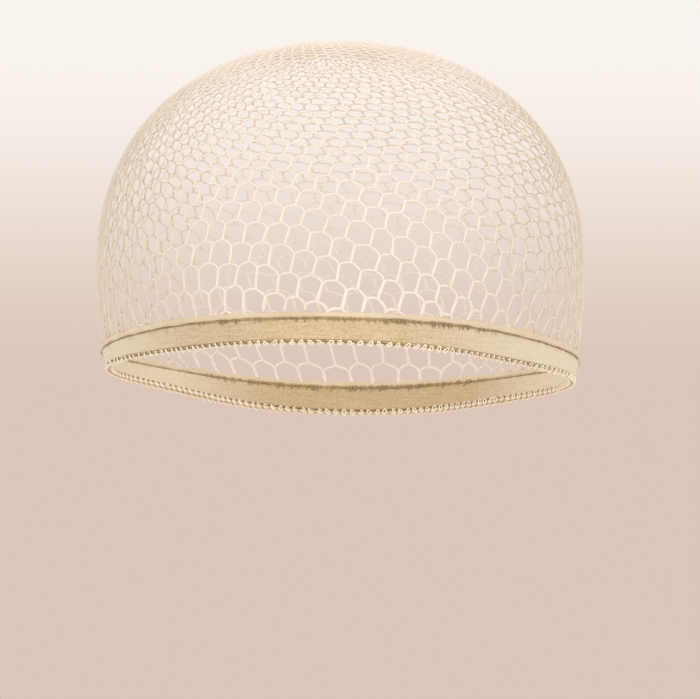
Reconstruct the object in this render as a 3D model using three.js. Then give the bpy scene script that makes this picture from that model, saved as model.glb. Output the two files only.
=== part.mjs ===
// A hairnet: a dome of open net on a ring of knitted elastic, in the form that it takes on a head.
// Millimetres, +Z up. The front of the cap faces -Y, and right and left are as seen from the front.
// The origin is the centre of the head opening.
import * as THREE from "three";

// Form of the dome
const WIDEST_HEIGHT = 36; // the widest level above the opening
const CROWN_RISE = 72.5; // from the widest level to the top
const CROWN_SQUARENESS = 2.2; // 2 is an ellipse, and more is fuller at the shoulder

// Plan of the wall at its two ends. The elastic draws the opening in between its four sides, by a
// share of its radius, so that it has soft corners at the right and the left.
const PLAN_SQUARENESS = 2.1;
const OPENING = { halfWidth: 75.5, halfDepth: 88.5, draw: 0.14 };
const WIDEST = { halfWidth: 79, halfDepth: 93, draw: 0 };

// How far the rim stands above the opening's level on each side
const RIM_HEIGHT = { front: 2.7, right: -1.7, back: -4.8, left: 2.7 };

// The elastic is stretched most at the right and the left, and is this much narrower there.
const SIDE_NARROWING = 1.6;

// The net is drawn together at the top into a low round gather.
const GATHER = { radius: 8, rise: 0.9 };

// Walls from the rim upwards: where each one ends up the wall, how thick it is, and how far it stands
// proud of the dome's outer face. Round ones have an oval section.
const SEAM_GAP = 0.3;
const CHAIN_EDGE = { bottom: 0, top: 1.8, thickness: 1.7, proud: 0.2, round: true };
const ELASTIC_BAND = { bottom: CHAIN_EDGE.top + SEAM_GAP, top: 8.4, thickness: 1.4, proud: 0, round: false };
const HEM_ROLL = { bottom: ELASTIC_BAND.top + SEAM_GAP, top: 10.6, thickness: 1.6, proud: 0.1, round: true };
const NET = { bottom: HEM_ROLL.top + SEAM_GAP, thickness: 1.2 };

// Thread and elastic colours
const PALE_CREAM = 0xf3e6d4;
const HEM_CREAM = 0xf1dfc1;
const GOLDEN_BEIGE = 0xd9bb8d;
const CHAIN_CREAM = 0xefdcba;
const CLOTH_ROUGHNESS = 0.9;

// Facets
const ROUND_STEPS = 64;
const ROUND_SECTION_SIDES = 8;
const BAND_SECTION_ROWS = 3;
const NET_WALL_ROWS = 4;
const NET_CROWN_ROWS = 12;
const CROWN_ROW_CROWDING = 1.3; // rows come closer together towards the gather
const DIFFERENCE_STEP = 0.02; // radians and millimetres, for the wall's direction

const QUARTER_TURN = Math.PI / 2;

// Height of the rim at an angle from the front, a wave through its four named heights.
function rimHeight(angle) {
  const { front, right, back, left } = RIM_HEIGHT;
  const mean = (front + right + back + left) / 4;
  const alongDepth = ((front - back) / 2) * Math.cos(angle);
  const acrossWidth = ((right - left) / 2) * Math.sin(angle);
  const saddle = ((front + back - right - left) / 4) * Math.cos(2 * angle);
  return mean + alongDepth + acrossWidth + saddle;
}

// How much lower the cloth lies at the sides, where the band is narrower: more and more up the band,
// and less and less up the net, to nothing at the widest level.
function sideDrop(angle, climb) {
  const bandHeight = ELASTIC_BAND.top - ELASTIC_BAND.bottom;
  const upBand = THREE.MathUtils.clamp((climb - ELASTIC_BAND.bottom) / bandHeight, 0, 1);
  const upNet = THREE.MathUtils.smoothstep(climb, NET.bottom, WIDEST_HEIGHT);
  return SIDE_NARROWING * Math.sin(angle) ** 4 * (upBand - upNet);
}

// Distance from the axis to the wall at an angle from the front, at a share of the way from the
// opening (0) to the widest level (1). It is eased so that the wall comes upright into the crown.
function planRadius(angle, share) {
  const ease = (1 - share) ** 2;
  const halfWidth = THREE.MathUtils.lerp(WIDEST.halfWidth, OPENING.halfWidth, ease);
  const halfDepth = THREE.MathUtils.lerp(WIDEST.halfDepth, OPENING.halfDepth, ease);
  const draw = THREE.MathUtils.lerp(WIDEST.draw, OPENING.draw, ease);
  const across = Math.abs(Math.sin(angle) / halfWidth) ** PLAN_SQUARENESS;
  const along = Math.abs(Math.cos(angle) / halfDepth) ** PLAN_SQUARENESS;
  return (across + along) ** (-1 / PLAN_SQUARENESS) * (1 - draw * Math.sin(2 * angle) ** 2);
}

// Radius and height of the crown's profile, as shares of the widest plan and the rise, at a slope
// angle from the widest level (0) to the top (a quarter turn).
function crownProfile(slope) {
  const across = Math.cos(Math.min(slope, QUARTER_TURN));
  const up = Math.sin(slope);
  const reach = (across ** CROWN_SQUARENESS + up ** CROWN_SQUARENESS) ** (-1 / CROWN_SQUARENESS);
  return { radius: Math.max(reach * across, 0), height: reach * up };
}

// Outer face of the cap at an angle from the front. Climb is the way up: millimetres up the wall
// to the widest level, then millimetres of slope angle times the rise to the top.
function outerFace(angle, climb) {
  const share = Math.min(climb / WIDEST_HEIGHT, 1);
  const slope = Math.max(climb - WIDEST_HEIGHT, 0) / CROWN_RISE;
  const profile = crownProfile(slope);
  const radius = profile.radius * planRadius(angle, share);
  const wallHeight = THREE.MathUtils.lerp(rimHeight(angle), WIDEST_HEIGHT, share);
  return new THREE.Vector3(
    radius * Math.sin(angle),
    -radius * Math.cos(angle),
    wallHeight - sideDrop(angle, climb) + CROWN_RISE * profile.height,
  );
}

// Direction out of the wall, square to the way round and the way up.
function outward(angle, climb) {
  const round = outerFace(angle + DIFFERENCE_STEP, climb);
  round.sub(outerFace(angle - DIFFERENCE_STEP, climb));
  const up = outerFace(angle, climb + DIFFERENCE_STEP);
  up.sub(outerFace(angle, climb - DIFFERENCE_STEP));
  return round.cross(up).normalize();
}

// A point of the wall, at a depth inwards from the outer face.
function wallPoint(angle, climb, depth) {
  return outerFace(angle, climb).addScaledVector(outward(angle, climb), -depth);
}

// Triangles of a grid of rows by ROUND_STEPS points that closes round the cap. Rows are numbered
// so that the faces look out when they run down the inside, under the edge and up the outside.
function gridTriangles(rows, closed) {
  const triangles = [];
  const strips = closed ? rows : rows - 1;
  for (let row = 0; row < strips; row++) {
    const next = (row + 1) % rows;
    for (let step = 0; step < ROUND_STEPS; step++) {
      const beside = (step + 1) % ROUND_STEPS;
      const a = row * ROUND_STEPS + step;
      const b = row * ROUND_STEPS + beside;
      const c = next * ROUND_STEPS + beside;
      const d = next * ROUND_STEPS + step;
      triangles.push(a, b, c, a, c, d);
    }
  }
  return triangles;
}

// Angles of the steps round the cap, one of them on each soft corner.
function roundAngles() {
  return Array.from({ length: ROUND_STEPS }, (_, step) => (step / ROUND_STEPS) * 2 * Math.PI);
}

function solid(points, triangles) {
  const geometry = new THREE.BufferGeometry().setFromPoints(points);
  geometry.setIndex(triangles);
  geometry.computeVertexNormals();
  return geometry;
}

// Outline of a ring's section as pairs of climb and depth, down the inside and up the outside.
function ringSection({ bottom, top, thickness, proud, round }) {
  if (round) {
    return Array.from({ length: ROUND_SECTION_SIDES }, (_, side) => {
      const turn = ((side + 0.5) / ROUND_SECTION_SIDES) * 2 * Math.PI;
      const climb = (bottom + top) / 2 + ((top - bottom) / 2) * Math.cos(turn);
      const depth = thickness / 2 - proud + (thickness / 2) * Math.sin(turn);
      return { climb, depth };
    });
  }
  const climbs = Array.from({ length: BAND_SECTION_ROWS }, (_, row) =>
    THREE.MathUtils.lerp(bottom, top, row / (BAND_SECTION_ROWS - 1)),
  );
  const inside = climbs.toReversed().map((climb) => ({ climb, depth: thickness - proud }));
  const outside = climbs.map((climb) => ({ climb, depth: -proud }));
  return [...inside, ...outside];
}

// A ring of the wall: its section carried once round the cap.
function ringGeometry(ring) {
  const section = ringSection(ring);
  const angles = roundAngles();
  const points = section.flatMap(({ climb, depth }) =>
    angles.map((angle) => wallPoint(angle, climb, depth)),
  );
  return solid(points, gridTriangles(section.length, true));
}

// Climbs of the net's rows, from its edge above the hem to the last row before the top.
function netClimbs() {
  const wall = Array.from({ length: NET_WALL_ROWS }, (_, row) =>
    THREE.MathUtils.lerp(NET.bottom, WIDEST_HEIGHT, row / NET_WALL_ROWS),
  );
  const crown = Array.from({ length: NET_CROWN_ROWS }, (_, row) => {
    const left = (1 - row / NET_CROWN_ROWS) ** CROWN_ROW_CROWDING;
    return WIDEST_HEIGHT + CROWN_RISE * QUARTER_TURN * (1 - left);
  });
  return [...wall, ...crown];
}

// How much the gather thickens the net at a distance from the axis.
function gatherRise(distance) {
  const share = Math.min(distance / GATHER.radius, 1);
  return GATHER.rise * (1 - share ** 2) ** 2;
}

// The dome: rows down the inside and up the outside, closed at the top by a fan on each face.
function netGeometry() {
  const climbs = netClimbs();
  const angles = roundAngles();
  const inside = climbs
    .toReversed()
    .flatMap((climb) => angles.map((angle) => wallPoint(angle, climb, NET.thickness)));
  const outside = climbs.flatMap((climb) =>
    angles.map((angle) => {
      const face = outerFace(angle, climb);
      return wallPoint(angle, climb, -gatherRise(Math.hypot(face.x, face.y)));
    }),
  );
  const summit = WIDEST_HEIGHT + CROWN_RISE;
  const innerTop = new THREE.Vector3(0, 0, summit - NET.thickness);
  const outerTop = new THREE.Vector3(0, 0, summit + GATHER.rise);
  const points = [...inside, ...outside, innerTop, outerTop];

  const rows = climbs.length * 2;
  const triangles = gridTriangles(rows, false);
  const lastRow = (rows - 1) * ROUND_STEPS;
  const innerPole = points.length - 2;
  const outerPole = points.length - 1;
  for (let step = 0; step < ROUND_STEPS; step++) {
    const beside = (step + 1) % ROUND_STEPS;
    triangles.push(innerPole, beside, step);
    triangles.push(outerPole, lastRow + step, lastRow + beside);
  }
  return solid(points, triangles);
}

function clothMesh(name, geometry, colour) {
  const material = new THREE.MeshStandardMaterial({
    color: colour,
    roughness: CLOTH_ROUGHNESS,
    metalness: 0,
  });
  const mesh = new THREE.Mesh(geometry, material);
  mesh.name = name;
  return mesh;
}

const hairnet = new THREE.Group();
hairnet.add(clothMesh("net_crown", netGeometry(), PALE_CREAM));
hairnet.add(clothMesh("hem_roll", ringGeometry(HEM_ROLL), HEM_CREAM));
hairnet.add(clothMesh("elastic_band", ringGeometry(ELASTIC_BAND), GOLDEN_BEIGE));
hairnet.add(clothMesh("chain_edge", ringGeometry(CHAIN_EDGE), CHAIN_CREAM));

export default hairnet;
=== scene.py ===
"""Looks of a hairnet: an open net crown on a knitted elastic band, laid out as an add-on.

Metres, +Z up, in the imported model's own frame. The front of the cap faces -Y, and right and left are as
seen from the front. A place on the cap is an angle round it, 0 at the front and a quarter turn at the
right, and a climb, the way up its wall from the rim.
"""
import math

import bpy
import numpy as np
from bpy.props import FloatProperty, FloatVectorProperty, IntProperty, PointerProperty
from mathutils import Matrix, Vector


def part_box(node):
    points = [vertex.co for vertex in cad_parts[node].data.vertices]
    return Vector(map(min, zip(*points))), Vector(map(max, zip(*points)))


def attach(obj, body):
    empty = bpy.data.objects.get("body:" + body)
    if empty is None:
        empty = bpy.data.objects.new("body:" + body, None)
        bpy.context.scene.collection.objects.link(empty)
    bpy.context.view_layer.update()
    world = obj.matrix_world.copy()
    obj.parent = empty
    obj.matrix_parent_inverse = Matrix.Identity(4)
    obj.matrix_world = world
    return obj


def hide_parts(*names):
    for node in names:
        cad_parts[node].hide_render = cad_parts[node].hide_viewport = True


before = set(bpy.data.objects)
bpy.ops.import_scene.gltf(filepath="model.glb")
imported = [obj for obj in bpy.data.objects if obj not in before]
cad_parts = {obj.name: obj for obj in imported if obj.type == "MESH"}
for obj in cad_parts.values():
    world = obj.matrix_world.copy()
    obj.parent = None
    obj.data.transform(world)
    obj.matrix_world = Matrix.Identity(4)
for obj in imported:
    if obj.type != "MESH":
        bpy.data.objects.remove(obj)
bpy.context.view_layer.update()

bl_info = {
    "name": "Hairnet",
    "version": (1, 0, 0),
    "blender": (4, 5, 0),
    "location": "View3D > Sidebar > Hairnet",
    "description": "Knits the net crown, the hem, the elastic band and its chain edge of a hairnet",
    "category": "Mesh",
}

FULL_TURN = 2 * math.pi
QUARTER_TURN = math.pi / 2
MEAN_ANGLE = math.pi / 4  # a meridian between the front and the side
TABLE_STEPS = 4000  # of a curve that is looked up by its length
DIFFERENCE_ANGLE, DIFFERENCE_CLIMB = 2e-4, 2e-5  # radians and metres, for the wall's directions
MAP_NAME = "lay"  # the pieces' own map
BAND_ROWS = 19  # rows of points up each face of the band
BAND_ROUND = (2 * BAND_ROWS + 4) / (BAND_ROWS - 1)  # its whole section over one face

NET_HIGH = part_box("net_crown")[1]
GATHER_RISE = 0.0009


def length(name, description, default):
    """A property that holds a size in metres."""
    return FloatProperty(name=name, description=description, default=default, unit="LENGTH", precision=5)


def share(name, description, default):
    """A property that holds a plain number."""
    return FloatProperty(name=name, description=description, default=default, precision=4)


def turn(name, description, degrees):
    """A property that holds an angle."""
    return FloatProperty(name=name, description=description, default=math.radians(degrees), unit="ROTATION")


def count(name, description, default):
    """A property that holds a whole number."""
    return IntProperty(name=name, description=description, default=default, min=1)


def colour(name, description, default):
    """A property that holds a scene-linear colour."""
    return FloatVectorProperty(
        name=name, description=description, default=default, subtype="COLOR", size=3, min=0, max=1
    )


class HairnetDome(bpy.types.PropertyGroup):
    """Form of the cap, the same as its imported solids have"""

    half_width: length("Half width", "From the axis to the right at the widest level", NET_HIGH.x)
    half_depth: length("Half depth", "From the axis to the back at the widest level", NET_HIGH.y)
    summit: length("Summit", "Height of the net's top under the gather", NET_HIGH.z - GATHER_RISE)
    widest_height: length("Widest height", "Height of the widest level", 0.036)
    crown_squareness: share("Crown squareness", "2 is an ellipse, more is fuller at the shoulder", 2.2)
    plan_squareness: share("Plan squareness", "2 is an ellipse, more is fuller between the sides", 2.1)
    mouth_half_width: length("Mouth half width", "From the axis to the right at the rim", 0.0755)
    mouth_half_depth: length("Mouth half depth", "From the axis to the back at the rim", 0.0885)
    mouth_draw: share("Mouth draw", "How far the elastic draws the rim in between its four sides", 0.14)
    rim_front: length("Rim at the front", "How far the rim stands above the opening's level", 0.0027)
    rim_right: length("Rim at the right", "How far the rim stands above the opening's level", -0.0017)
    rim_back: length("Rim at the back", "How far the rim stands above the opening's level", -0.0048)
    rim_left: length("Rim at the left", "How far the rim stands above the opening's level", 0.0027)
    narrowing: length("Side narrowing", "How much narrower the elastic is at the right and the left", 0.0016)
    band_foot: length("Band foot", "Climb of the lower edge from which the elastic narrows", 0.0021)
    band_head: length("Band head", "Climb of the upper edge up to which it narrows", 0.0084)
    net_edge: length("Net edge", "Climb of the net's lower edge", 0.0109)


class HairnetNet(bpy.types.PropertyGroup):
    """The net's threads and cells"""

    columns: count("Columns", "Cells in one row round the cap", 74)
    crowding: share("Crowding", "How much closer the columns stand at the front than at the sides", 0.14)
    cell_height: length("Cell height", "Way up from one row to the next at the rim", 0.0122)
    cell_height_top: length("Cell height at the top", "The same at the top of the crown", 0.0029)
    cell_fall: share("Cell fall", "How fast it falls, as a power of the way that is left to the top", 3.1)
    yarn: length("Yarn", "Diameter of one yarn", 0.0006)
    top_fineness: share("Top fineness", "Diameter of a yarn at the top over that lower down", 0.72)
    edge_swell: share("Edge swell", "How much thicker the yarns are where they meet the hem", 0.65)
    edge_rows: share("Edge rows", "Rows over which they thin out again", 1.8)
    edge_dive: length("Edge dive", "How far the yarns' ends dive into the hem", 0.0006)
    closeness: share("Closeness", "How far two yarns lie from their pillar's middle, in diameters", 0.2)
    pillar: share("Pillar", "Share of a row in which two yarns run side by side", 0.78)
    arch: share("Arch", "How round a crossing is: 0 is an even slant, 1 a quarter of an oval", 0.75)
    eyelet: share("Eyelet", "Share of the crossing at which the eyelet's bar lies", 0.8)
    eyelet_bow: share("Eyelet bow", "How far the bar arches up, in rows", 0.06)
    sway_once: share("Sway", "Rise and fall of the rows once round the cap, in rows", 3.8)
    sway_twice: share("Second sway", "Rise and fall of the rows twice round the cap, in rows", 1.37)
    turn_once: turn("Sway turn", "Where the first sway lets the rows fall most to the right", 58)
    turn_twice: turn("Second sway turn", "Where the second sway lets the rows fall most to the right", 21.5)
    calming: share("Calming", "Share of the rows, under the top, over which the sways die out", 0.5)
    lean: share("Lean", "How far the columns lean to the right, in columns for each row", 0.25)
    unevenness: share("Unevenness", "How far cells stray from their even place, in cells", 0.04)
    seed: count("Seed", "Start of the random draws", 7)
    top_radius: length("Top radius", "Radius at which the yarns end under the gather", 0.0055)
    # Light and dark: the yarn on its plies' crests and in their valleys, where the dark is painted shade;
    # random noise also blends between them
    light: colour("Light", "Yarn where it is clean and full", (0.87, 0.755, 0.645))
    dark: colour("Dark", "Yarn between its plies", (0.74, 0.60, 0.47))
    # Side: painted shade, a darker, yellower tint multiplied into the yarn towards the cap's sides
    side: colour("Side", "What tints the yarn at the sides of the cap", (0.86, 0.845, 0.795))


class HairnetGather(bpy.types.PropertyGroup):
    """The low gather at the top of the crown"""

    radius: length("Radius", "Radius of the gather", 0.008)
    rise: length("Rise", "How far the gather stands above the net", GATHER_RISE)
    thickness: length("Thickness", "Thickness of the gathered net", 0.0012)
    pleats: count("Pleats", "Folds round the gather", 38)
    pleat_height: length("Pleat height", "How far a fold stands above its valleys", 0.0007)


class HairnetHem(bpy.types.PropertyGroup):
    """The rolled hem between the net and the band, with its seam"""

    bottom: length("Bottom", "Climb of the roll's lower side", 0.0087)
    top: length("Top", "Climb of the roll's upper side", 0.0106)
    thickness: length("Thickness", "Thickness of the roll", 0.0016)
    proud: length("Proud", "How far the roll stands out from the wall", 0.0001)
    windings: count("Windings", "Slanting turns of thread round the roll", 236)
    relief: length("Relief", "How far a winding stands out", 0.00006)
    stitches: count("Stitches", "Overlock stitches on each face", 220)
    stitch: length("Stitch", "Diameter of the overlock stitches' thread", 0.00030)
    seam: length("Seam", "Diameter of the thread that runs in the seam", 0.00078)
    seam_thinness: share("Seam thinness", "Its diameter at the sides over that at the front", 0.4)
    fibres: count("Fibres", "Loose fibre ends along the seam", 900)
    fibre: length("Fibre", "Diameter of a loose fibre", 0.00008)
    seed: count("Seed", "Start of the random draws", 21)
    light: colour("Light", "Hem thread where it is clean and full", (0.72, 0.58, 0.40))
    dark: colour("Dark", "Hem thread between its windings", (0.55, 0.41, 0.25))
    # Seam tone: the seam thread's dark, partly painted shade of the gap under the roll; seam light is the
    # paler tone that noise and the ply crests blend toward
    seam_thread_and_shade_tone: colour("Seam tone", "Thread that runs in the seam", (0.19, 0.115, 0.04))
    seam_light: colour("Seam light", "The same where it is worn paler", (0.50, 0.35, 0.165))


class HairnetBand(bpy.types.PropertyGroup):
    """The knitted elastic band"""

    bottom: length("Bottom", "Climb of the band's lower edge", 0.0015)
    top: length("Top", "Climb of the band's upper edge", 0.0084)
    thickness: length("Thickness", "Thickness of the band", 0.0014)
    ribs: count("Ribs", "Knitted ribs round the band", 560)
    courses: count("Courses", "Knitted courses up the band", 7)
    relief: length("Relief", "How far a stitch stands out", 0.00012)
    # Light and dark: the elastic on its ribs and between them, the dark partly painted shade in the valleys
    # and at the back; streaks and grain also blend between them
    light: colour("Light", "Elastic on its ribs", (0.70, 0.53, 0.342))
    dark: colour("Dark", "Elastic between its ribs", (0.42, 0.28, 0.12))
    pale: colour("Pale", "Elastic at the sides of the cap, where it is stretched most", (0.755, 0.635, 0.46))
    skew: share("Skew", "How far the pale parts lie askew of the sides, over the depth", 0.15)


class HairnetChain(bpy.types.PropertyGroup):
    """The looped chain edge under the band"""

    top: length("Top", "Climb of the edge's upper side", 0.0018)
    depth: length("Depth", "How deep the edge's middle lies in the wall", 0.0007)
    loops: count("Loops", "Loops round the rim", 165)
    thread: length("Thread", "Diameter of the loops' thread", 0.0006)
    half_width: length("Half width", "Half the width of a loop", 0.0005)
    half_height: length("Half height", "Half the height of a loop", 0.00072)
    core: length("Core", "Diameter of the cord behind the loops", 0.0014)
    binding: length("Binding", "Diameter of the dark thread that shows between the loops", 0.0005)
    # Light and dark: the loop thread on its plies' crests and in their valleys, where the dark is painted
    # shade; random noise also blends between them
    light: colour("Light", "Loop thread where it is clean and full", (0.92, 0.80, 0.62))
    dark: colour("Dark", "Loop thread between its plies", (0.74, 0.57, 0.35))
    seed: count("Seed", "Start of the random draws", 33)
    # Core light and dark: the cord on its plies' crests and in their valleys, where the dark is painted
    # shade; random noise also blends between them
    core_light: colour("Core light", "Cord where it is clean and full", (0.62, 0.46, 0.25))
    core_dark: colour("Core dark", "Cord between its plies", (0.38, 0.25, 0.11))
    binding_tone: colour("Binding tone", "Dark thread", (0.22, 0.13, 0.045))


class HairnetStage(bpy.types.PropertyGroup):
    """Camera, light and floor"""

    distance: length("Distance", "From the camera to the cap's origin", 1.3)
    tilt: turn("Tilt", "How far the camera looks up", 5)
    aim_right: length("Aim right", "How far the camera aims to the right of the origin", 0.0031)
    aim_up: length("Aim up", "How far the camera aims above the origin", 0.0098)
    view_width: length("View width", "Width of the view at the origin", 0.2266)
    floor_level: length("Floor level", "Height of the floor, under a cap at head height", -1.6)
    floor_size: length("Floor size", "Side of the floor", 40)
    backdrop_low: colour("Backdrop low", "What shows behind and under the cap's rim", (0.72, 0.565, 0.49))
    backdrop_high: colour("Backdrop high", "What shows over the cap", (0.95, 0.90, 0.85))
    backdrop_start: turn("Backdrop start", "How high over the horizon the backdrop starts to pale", 4.9)
    backdrop_end: turn("Backdrop end", "How high over the horizon the backdrop is pale", 9.8)
    floor_tone: colour("Floor tone", "Pale floor", (0.65, 0.51, 0.44))
    ambient: share("Ambient", "Strength of the light from all round", 1.1)


class HairnetSettings(bpy.types.PropertyGroup):
    """All the sizes and colours of the hairnet"""

    dome: PointerProperty(type=HairnetDome)
    net: PointerProperty(type=HairnetNet)
    gather: PointerProperty(type=HairnetGather)
    hem: PointerProperty(type=HairnetHem)
    band: PointerProperty(type=HairnetBand)
    chain: PointerProperty(type=HairnetChain)
    stage: PointerProperty(type=HairnetStage)


# Small helpers on arrays


def unit(vectors):
    """Vectors divided by their own lengths."""
    return vectors / np.linalg.norm(vectors, axis=-1, keepdims=True)


def smooth(part):
    """Smooth step: 3p^2 - 2p^3 of a part held between 0 and 1."""
    held = np.clip(part, 0, 1)
    return held * held * (3 - 2 * held)


def shares(number):
    """The starts of so many even parts of 1."""
    return np.arange(number) / number


def mix(start, end, part):
    """The value a part of the way from start to end."""
    return start + (end - start) * part


# The wall of the cap


def rim_height(dome, angle):
    """Height of the rim: a wave of one and of two periods through its four named heights."""
    front, right, back, left = dome.rim_front, dome.rim_right, dome.rim_back, dome.rim_left
    mean = (front + right + back + left) / 4
    along_depth = (front - back) / 2 * np.cos(angle)
    across_width = (right - left) / 2 * np.sin(angle)
    saddle = (front + back - right - left) / 4 * np.cos(2 * angle)
    return mean + along_depth + across_width + saddle


def side_drop(dome, angle, climb):
    """How much lower the cloth lies at the sides, where the band is narrower: in proportion to the climb
    up the band, and less by a smooth step up the net. It goes round as sin(angle) to the fourth."""
    up_band = np.clip((climb - dome.band_foot) / (dome.band_head - dome.band_foot), 0, 1)
    up_net = smooth((climb - dome.net_edge) / (dome.widest_height - dome.net_edge))
    return dome.narrowing * np.sin(angle) ** 4 * (up_band - up_net)


def plan_radius(dome, angle, part):
    """Distance from the axis: a superellipse whose half sizes ease from the mouth's (part 0) to the
    widest (part 1), drawn in by a share of sin(2 angle) squared at the mouth."""
    ease = (1 - part) ** 2
    half_width = mix(dome.half_width, dome.mouth_half_width, ease)
    half_depth = mix(dome.half_depth, dome.mouth_half_depth, ease)
    power = dome.plan_squareness
    across = np.abs(np.sin(angle) / half_width) ** power
    along = np.abs(np.cos(angle) / half_depth) ** power
    return (across + along) ** (-1 / power) * (1 - dome.mouth_draw * ease * np.sin(2 * angle) ** 2)


def dome_face(dome, angle, climb):
    """Outer face of the cap. Up to the widest level the climb is a height. Above it, the climb over the
    rise is the slope angle of a superellipse from the widest level to the summit."""
    part = np.minimum(climb / dome.widest_height, 1)
    rise = dome.summit - dome.widest_height
    slope = np.clip((climb - dome.widest_height) / rise, 0, QUARTER_TURN)
    across, up = np.cos(slope), np.sin(slope)
    power = dome.crown_squareness
    reach = (across**power + up**power) ** (-1 / power)
    radius = reach * across * plan_radius(dome, angle, part)
    height = mix(rim_height(dome, angle), dome.widest_height, part) + rise * reach * up
    height = height - side_drop(dome, angle, climb)
    return np.stack([radius * np.sin(angle), -radius * np.cos(angle), height], axis=-1)


def top_climb(dome):
    """Climb of the summit: the widest height, and a quarter turn of slope angle times the rise."""
    return dome.widest_height + (dome.summit - dome.widest_height) * QUARTER_TURN


def wall_axes(dome, angle, climb):
    """Unit vectors round, up and out of the wall, from differences of its outer face."""
    ahead = dome_face(dome, angle + DIFFERENCE_ANGLE, climb)
    behind = dome_face(dome, angle - DIFFERENCE_ANGLE, climb)
    above = dome_face(dome, angle, climb + DIFFERENCE_CLIMB)
    below = dome_face(dome, angle, climb - DIFFERENCE_CLIMB)
    around, up = unit(ahead - behind), unit(above - below)
    return around, up, unit(np.cross(around, up))


def wall_point(dome, angle, climb, depth):
    """A point of the wall at a depth inwards from its outer face, and the wall's direction out there."""
    out = wall_axes(dome, angle, climb)[2]
    return dome_face(dome, angle, climb) - np.asarray(depth)[..., None] * out, out


def rim_way(dome):
    """Angles round the rim in small even steps, and the way along the rim to each of them."""
    angle = np.linspace(0, FULL_TURN, TABLE_STEPS)
    steps = np.linalg.norm(np.diff(dome_face(dome, angle, 0.0), axis=0), axis=1)
    return angle, np.concatenate([[0], np.cumsum(steps)])


def rim_angle(dome, part):
    """Angle at a part of the way round the rim, so that even parts are even lengths of rim."""
    angle, way = rim_way(dome)
    return np.interp(np.mod(part, 1), way / way[-1], angle) + FULL_TURN * np.floor(part)


# Meshes from arrays: points, lists of faces, and the faces' corner maps


def grid_quads(rows, columns, wrap_rows, wrap_columns):
    """Corners of a grid's quads, and each corner's share of the way along the rows and the columns.
    Corners go column first, then row, so that column cross row points out of the face."""
    row, column = np.meshgrid(
        np.arange(rows if wrap_rows else rows - 1),
        np.arange(columns if wrap_columns else columns - 1),
        indexing="ij",
    )
    at_row = row.reshape(-1, 1) + np.array([0, 0, 1, 1])
    at_column = column.reshape(-1, 1) + np.array([0, 1, 1, 0])
    quads = (at_row % rows) * columns + at_column % columns
    uv = np.stack([at_column / columns, at_row / rows], axis=-1)
    return quads, uv


def ring_mesh(dome, climb, depth, angle):
    """A section carried round the cap: arrays of climb and depth, a row for each point of the section,
    from the inside down round the outside, and a column for each angle."""
    points = wall_point(dome, angle, climb, depth)[0]
    quads, uv = grid_quads(*points.shape[:2], True, True)
    return points.reshape(-1, 3), [quads], [uv]


def tube_rings(paths, across, radius, sides, closed):
    """Rings of points round paths. A ring is square to its path: its first axis is the across direction
    less its part along the path, and its second axis is square to both."""
    if closed:
        along = unit(np.roll(paths, -1, axis=-2) - np.roll(paths, 1, axis=-2))
    else:
        along = unit(np.gradient(paths, axis=-2))
    first = unit(across - np.sum(across * along, axis=-1, keepdims=True) * along)
    second = np.cross(along, first)
    around = shares(sides) * FULL_TURN
    ring = np.cos(around)[:, None] * first[..., None, :] + np.sin(around)[:, None] * second[..., None, :]
    return paths[..., None, :] + np.asarray(radius)[..., None, None] * ring


def tube_mesh(paths, across, radius, sides, closed=False, kept=None):
    """A tube along each path, with flat ends where it is open. The map runs round the tube once and
    along it in tube girths. Only kept rings, a run of each path, are used."""
    tubes, rings = paths.shape[:2]
    radius = np.broadcast_to(radius, (tubes, rings))
    points = tube_rings(paths, across, radius, sides, closed)
    kept = np.ones((tubes, rings), bool) if kept is None else kept
    quads, uv = grid_quads(rings, sides, closed, True)
    girth = FULL_TURN * float(radius.mean())
    long = float(np.linalg.norm(np.diff(paths, axis=1), axis=-1).sum(axis=1).mean())
    uv = uv * [1, long / girth]
    start = np.arange(tubes) * rings * sides
    joins_next = kept & np.roll(kept, -1, axis=1)
    used = np.repeat(joins_next if closed else joins_next[:, :-1], sides, axis=1)
    faces = [(quads[None] + start[:, None, None])[used]]
    maps = [np.broadcast_to(uv, (tubes, *uv.shape))[used]]
    if not closed:
        first = np.argmax(kept, axis=1)
        last = rings - 1 - np.argmax(kept[:, ::-1], axis=1)
        corner = np.arange(sides)
        faces += [(start + first * sides)[:, None] + corner[::-1], (start + last * sides)[:, None] + corner]
        maps += [np.zeros((tubes, sides, 2)), np.zeros((tubes, sides, 2))]
    kept_points = np.repeat(kept.ravel(), sides)
    renumber = np.cumsum(kept_points) - 1
    return points.reshape(-1, 3)[kept_points], [renumber[f] for f in faces], maps


def ring_tube(path, out, radius, sides):
    """A tube along one path that closes round the cap."""
    return tube_mesh(path[None], out[None], radius, sides, closed=True)


def joined(meshes):
    """Several meshes as one: their points in a row, and their faces renumbered to match."""
    points, faces, maps, total = [], [], [], 0
    for some_points, some_faces, some_maps in meshes:
        points.append(some_points)
        faces += [f + total for f in some_faces]
        maps += some_maps
        total += len(some_points)
    return np.concatenate(points), faces, maps


def placed(name, data):
    """A new object in the scene that holds a mesh, a light or a camera."""
    thing = bpy.data.objects.new(name, data)
    bpy.context.scene.collection.objects.link(thing)
    return thing


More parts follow.
